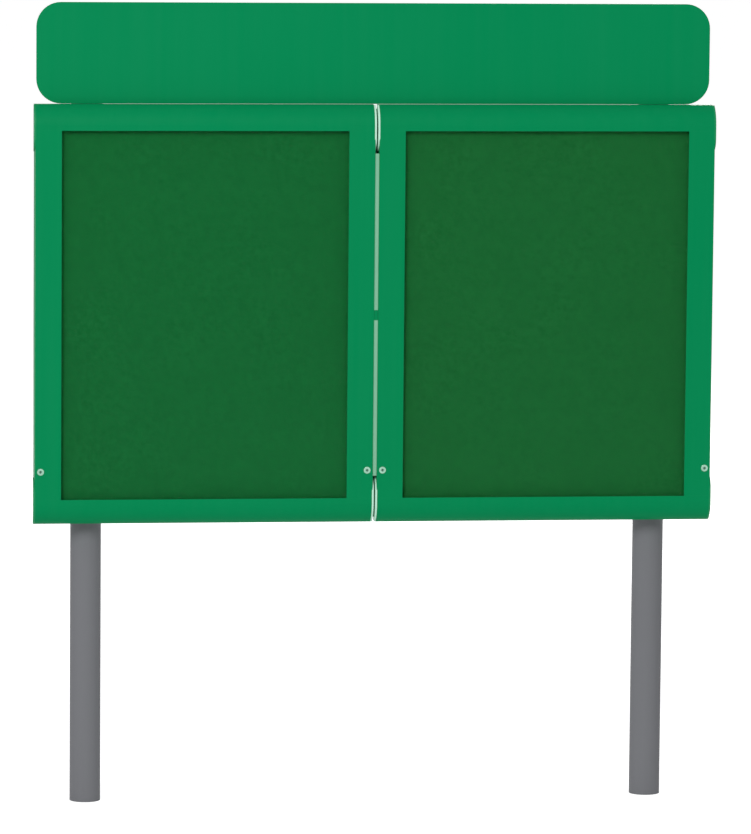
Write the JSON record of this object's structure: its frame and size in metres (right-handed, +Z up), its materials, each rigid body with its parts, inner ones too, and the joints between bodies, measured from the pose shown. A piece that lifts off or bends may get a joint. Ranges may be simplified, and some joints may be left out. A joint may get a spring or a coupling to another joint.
{
  "type": "post-mounted outdoor sign",
  "caption": "Outdoor notice sign with top-hinged glazed display cases side by side on round posts, and a rounded header board above.",
  "frame": {"origin": "on the ground, under the centre of the sign's whole width and depth", "axes": "X to the right as seen from the front, Y from the front to the back, Z up; the doors face -Y"},
  "size_m": [1.672, 0.1656, 1.9705],
  "materials": {
    "green_coat": "smooth green powder coat, satin",
    "post_coat": "grey powder coat, satin",
    "zinc_coat": "galvanised sheet and channel, dull",
    "fastener_steel": "stainless fasteners and hinges, satin",
    "felt": "dark green needle felt on board",
    "clear_sheet": "clear glazing",
    "seal_rubber": "black seals",
    "cap_plastic": "black plastic caps",
    "green_plastic": "green moulded end caps",
    "grey_plastic": "light grey strips and end caps",
    "lock_metal": "plated lock rings and barrels",
    "plug_metal": "dark lock plugs",
    "strut_coat": "black lacquered strut cylinders",
    "bright_rod": "bright strut rods"
  },
  "bodies": {
    "stand": {"post_left": "post_coat", "post_right": "post_coat", "post_caps": "cap_plastic", "header_panel": "green_coat", "header_rails": "zinc_coat", "bearers": "zinc_coat", "post_clamps": "zinc_coat", "clamp_bolts": "fastener_steel", "channel_nuts": "zinc_coat", "case_bolts": "fastener_steel", "fixing_nuts": "fastener_steel", "joint_strips": "grey_plastic", "joint_block": "green_coat", "joint_bolts": "fastener_steel", "strut_brackets": "zinc_coat", "hinge_leaves": "fastener_steel", "case_back_left": "zinc_coat", "case_rails_left": "green_coat", "case_sides_left": "green_coat", "pinboard_left": "felt", "case_seal_left": "seal_rubber", "case_back_right": "zinc_coat", "case_rails_right": "green_coat", "case_sides_right": "green_coat", "pinboard_right": "felt", "case_seal_right": "seal_rubber"},
    "door_left": {"door_rails_left": "green_coat", "door_stiles_left": "green_coat", "glazing_left": "clear_sheet", "glazing_gasket_left": "seal_rubber", "glazing_beads_left": "green_coat", "end_caps_outer_left": "green_plastic", "end_caps_inner_left": "grey_plastic", "door_hinge_left": "fastener_steel", "hinge_pin_left": "fastener_steel", "lock_housings_left": "lock_metal", "strut_studs_left": "zinc_coat"},
    "lock_left_outer": {"lock_plug_left_outer": "plug_metal", "lock_cam_left_outer": "zinc_coat"},
    "lock_left_inner": {"lock_plug_left_inner": "plug_metal", "lock_cam_left_inner": "zinc_coat"},
    "strut_cylinders_left": {"strut_cylinders_left": "strut_coat"},
    "strut_rods_left": {"strut_rods_left": "bright_rod"},
    "door_right": {"door_rails_right": "green_coat", "door_stiles_right": "green_coat", "glazing_right": "clear_sheet", "glazing_gasket_right": "seal_rubber", "glazing_beads_right": "green_coat", "end_caps_outer_right": "green_plastic", "end_caps_inner_right": "grey_plastic", "door_hinge_right": "fastener_steel", "hinge_pin_right": "fastener_steel", "lock_housings_right": "lock_metal", "strut_studs_right": "zinc_coat"},
    "lock_right_outer": {"lock_plug_right_outer": "plug_metal", "lock_cam_right_outer": "zinc_coat"},
    "lock_right_inner": {"lock_plug_right_inner": "plug_metal", "lock_cam_right_inner": "zinc_coat"},
    "strut_cylinders_right": {"strut_cylinders_right": "strut_coat"},
    "strut_rods_right": {"strut_rods_right": "bright_rod"}
  },
  "joints": [
    {"name": "door_left_lift", "type": "hinge", "parent": "stand", "child": "door_left", "pos_m": [-0.419, -0.04585, 1.719], "axis": [-1, 0, 0], "range_deg": [0, 85]},
    {"name": "lock_left_outer_turn", "type": "hinge", "parent": "door_left", "child": "lock_left_outer", "pos_m": [-0.819, -0.06135, 0.831], "axis": [0, -1, 0], "range_deg": [0, 90]},
    {"name": "lock_left_inner_turn", "type": "hinge", "parent": "door_left", "child": "lock_left_inner", "pos_m": [-0.019, -0.06135, 0.831], "axis": [0, 1, 0], "range_deg": [0, 90]},
    {"name": "strut_left_swing", "type": "hinge", "parent": "stand", "child": "strut_cylinders_left", "pos_m": [-0.419, -0.03235, 1.274], "axis": [1, 0, 0], "range_deg": [0, 11.6]},
    {"name": "strut_left_slide", "type": "slide", "parent": "strut_cylinders_left", "child": "strut_rods_left", "axis": [0, 0, 1], "range_m": [0, 0.0639]},
    {"name": "door_right_lift", "type": "hinge", "parent": "stand", "child": "door_right", "pos_m": [0.419, -0.04585, 1.719], "axis": [-1, 0, 0], "range_deg": [0, 85]},
    {"name": "lock_right_outer_turn", "type": "hinge", "parent": "door_right", "child": "lock_right_outer", "pos_m": [0.819, -0.06135, 0.831], "axis": [0, 1, 0], "range_deg": [0, 90]},
    {"name": "lock_right_inner_turn", "type": "hinge", "parent": "door_right", "child": "lock_right_inner", "pos_m": [0.019, -0.06135, 0.831], "axis": [0, -1, 0], "range_deg": [0, 90]},
    {"name": "strut_right_swing", "type": "hinge", "parent": "stand", "child": "strut_cylinders_right", "pos_m": [0.419, -0.03235, 1.274], "axis": [1, 0, 0], "range_deg": [0, 11.6]},
    {"name": "strut_right_slide", "type": "slide", "parent": "strut_cylinders_right", "child": "strut_rods_right", "axis": [0, 0, 1], "range_m": [0, 0.0639]}
  ],
  "couplings": [
    {"joint": "strut_left_swing", "follows": "door_left_lift", "ratio": 0.13616},
    {"joint": "strut_left_slide", "follows": "door_left_lift", "m_per_rad": 0.043029},
    {"joint": "strut_right_swing", "follows": "door_right_lift", "ratio": 0.13616},
    {"joint": "strut_right_slide", "follows": "door_right_lift", "m_per_rad": 0.043029}
  ]
}
